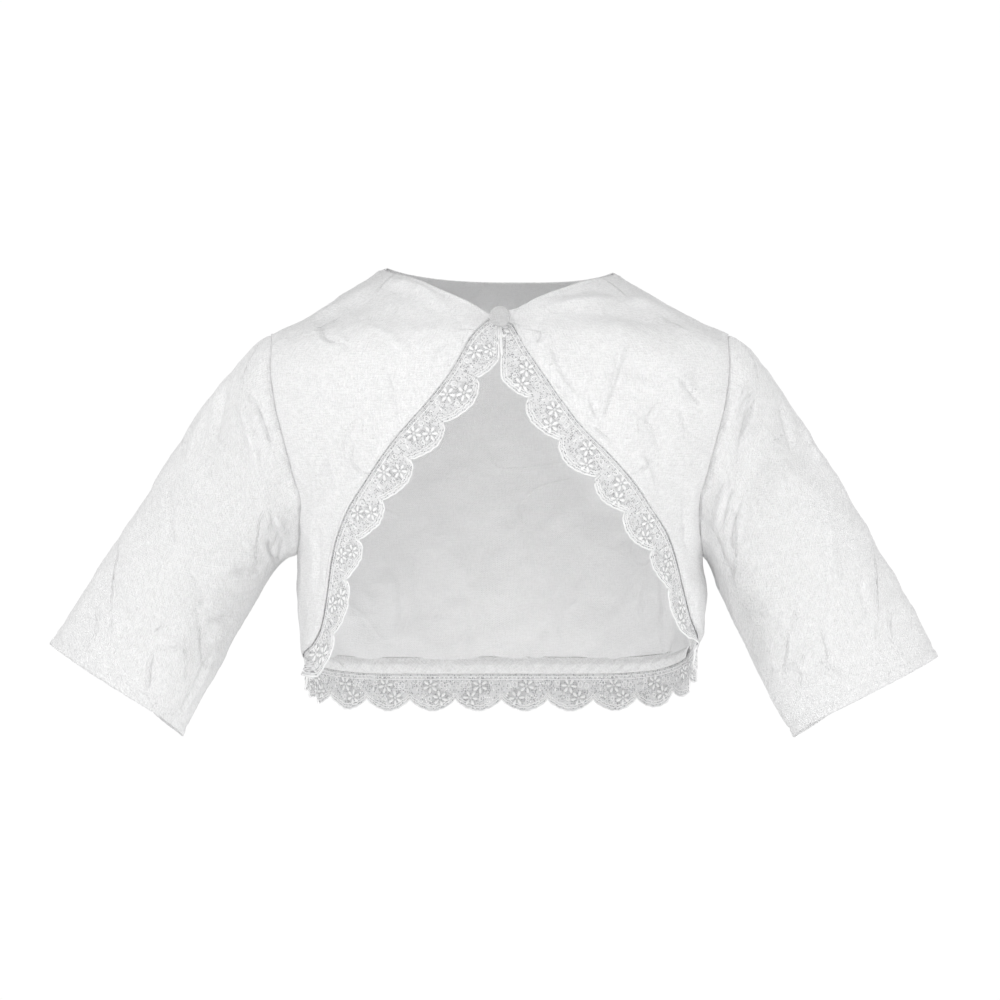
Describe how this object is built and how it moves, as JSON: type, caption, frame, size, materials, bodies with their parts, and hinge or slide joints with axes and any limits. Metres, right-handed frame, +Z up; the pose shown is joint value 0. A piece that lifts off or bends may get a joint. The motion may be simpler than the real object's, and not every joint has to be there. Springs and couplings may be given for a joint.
{
  "type": "bolero",
  "caption": "Child's woven bolero, filled out as worn: curved open front closed at the neck by a covered button and loop, elbow-length sleeves, scalloped lace round the front edges and hem.",
  "frame": {"origin": "midway between the neck ends of the shoulder seams, where the shoulders carry the garment", "axes": "+Z up, -Y to the wearer's front, +X to the wearer's left"},
  "size_m": [0.4936, 0.1465, 0.2614],
  "materials": {
    "linen": "matt plain-weave linen and cotton, white",
    "lace": "embroidered cotton net, white",
    "thread": "twisted cotton thread, white"
  },
  "bodies": {
    "root": {"back": "linen", "front_left": "linen", "front_right": "linen", "sleeve_left": "linen", "sleeve_right": "linen", "hem_band": "linen", "button": "linen", "lace_back": "lace", "lace_front_left": "lace", "lace_front_right": "lace", "button_loop": "thread"}
  },
  "joints": []
}
